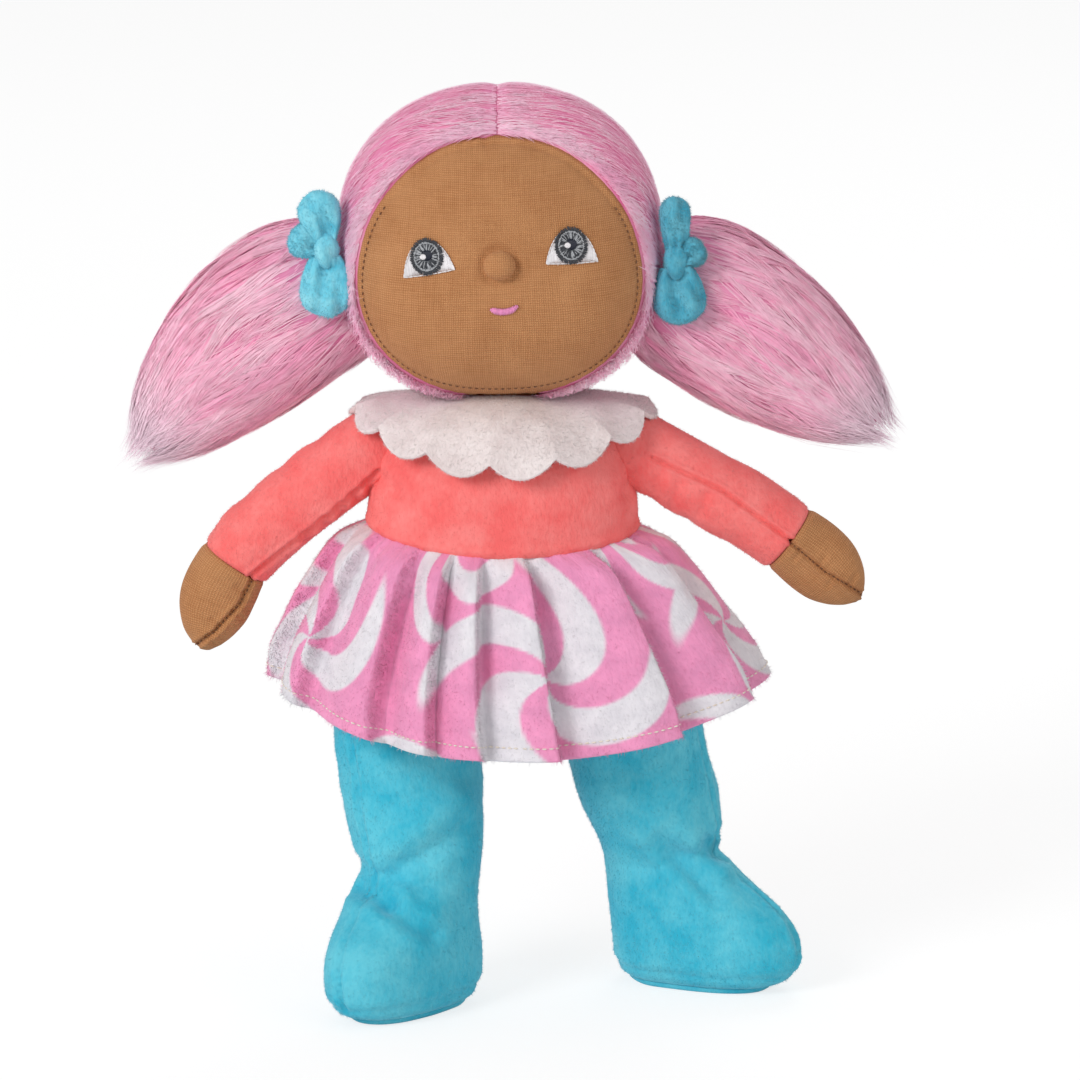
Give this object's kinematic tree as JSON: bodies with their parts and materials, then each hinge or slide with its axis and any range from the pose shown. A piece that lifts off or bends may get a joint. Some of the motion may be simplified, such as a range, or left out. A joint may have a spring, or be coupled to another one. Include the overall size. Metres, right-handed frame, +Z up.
{
  "type": "cloth doll",
  "caption": "Stuffed cloth doll with fur pigtails and plush bows, embroidered face, scalloped collar, gathered printed skirt, mitten hands and soft boots, moving at neck, shoulders and hips.",
  "frame": {"origin": "on the floor under the middle of the outer box, between the soles", "axes": "+Z up, -Y the way the doll faces, +X to the doll's own left"},
  "size_m": [0.2892, 0.1304, 0.3513],
  "materials": {
    "linen": "brown plain-weave cotton linen",
    "pink_fur": "pink faux fur",
    "coral_velour": "coral velour",
    "blue_plush": "turquoise short-pile plush",
    "white_plush": "off-white short-pile plush",
    "print_plush": "pink and white swirl print plush",
    "white_thread": "satin-stitched embroidery",
    "grey_thread": "satin-stitched embroidery",
    "navy_thread": "satin-stitched embroidery",
    "pink_thread": "satin-stitched embroidery",
    "filling": "polyester fibre filling in a plain cover"
  },
  "bodies": {
    "torso": {"bodice": "coral_velour", "seat": "filling", "collar": "white_plush", "skirt": "print_plush"},
    "neck_post": {"neck": "linen"},
    "head": {"head_stuffing": "filling", "face_panel": "linen", "hair_cap_left": "pink_fur", "hair_cap_right": "pink_fur", "nose": "linen", "mouth": "pink_thread", "left_eye_white": "white_thread", "left_iris": "grey_thread", "left_pupil": "navy_thread", "right_eye_white": "white_thread", "right_iris": "grey_thread", "right_pupil": "navy_thread"},
    "left_bunch": {"left_pigtail": "pink_fur", "left_bow_knot": "blue_plush", "left_bow_upper_loop": "blue_plush", "left_bow_side_loop": "blue_plush", "left_bow_lower_loop": "blue_plush"},
    "left_arm": {"left_sleeve": "coral_velour", "left_hand": "linen"},
    "left_limb": {"left_leg": "blue_plush", "left_sole": "blue_plush"},
    "right_bunch": {"right_pigtail": "pink_fur", "right_bow_knot": "blue_plush", "right_bow_upper_loop": "blue_plush", "right_bow_side_loop": "blue_plush", "right_bow_lower_loop": "blue_plush"},
    "right_arm": {"right_sleeve": "coral_velour", "right_hand": "linen"},
    "right_limb": {"right_leg": "blue_plush", "right_sole": "blue_plush"}
  },
  "joints": [
    {"name": "head_turn", "type": "hinge", "parent": "torso", "child": "neck_post", "pos_m": [-0.00329, 0.0028, 0.23], "axis": [0, 0, 1], "range_deg": [-35, 35], "stiffness_Nm_per_rad": 0.15},
    {"name": "head_nod", "type": "hinge", "parent": "neck_post", "child": "head", "pos_m": [-0.00329, 0.0028, 0.242], "axis": [1, 0, 0], "range_deg": [-10, 10], "stiffness_Nm_per_rad": 0.6},
    {"name": "left_bunch_swing", "type": "hinge", "parent": "head", "child": "left_bunch", "pos_m": [0.05471, 0.0068, 0.278], "axis": [-1, 0, 0], "range_deg": [-35, 35], "stiffness_Nm_per_rad": 0.02},
    {"name": "right_bunch_swing", "type": "hinge", "parent": "head", "child": "right_bunch", "pos_m": [-0.06129, 0.0068, 0.278], "axis": [-1, 0, 0], "range_deg": [-35, 35], "stiffness_Nm_per_rad": 0.02},
    {"name": "left_shoulder", "type": "hinge", "parent": "torso", "child": "left_arm", "pos_m": [0.04571, 0.0008, 0.212], "axis": [-1, 0, 0], "range_deg": [-30, 90], "stiffness_Nm_per_rad": 0.04, "deforming": ["collar"]},
    {"name": "right_shoulder", "type": "hinge", "parent": "torso", "child": "right_arm", "pos_m": [-0.05229, 0.0008, 0.212], "axis": [-1, 0, 0], "range_deg": [-30, 90], "stiffness_Nm_per_rad": 0.04, "deforming": ["collar"]},
    {"name": "left_hip", "type": "hinge", "parent": "torso", "child": "left_limb", "pos_m": [0.03675, 0.0008, 0.138], "axis": [-1, 0, 0], "range_deg": [-25, 80], "stiffness_Nm_per_rad": 0.5, "deforming": ["skirt"]},
    {"name": "right_hip", "type": "hinge", "parent": "torso", "child": "right_limb", "pos_m": [-0.04333, 0.0008, 0.138], "axis": [-1, 0, 0], "range_deg": [-25, 80], "stiffness_Nm_per_rad": 0.5, "deforming": ["skirt"]}
  ]
}
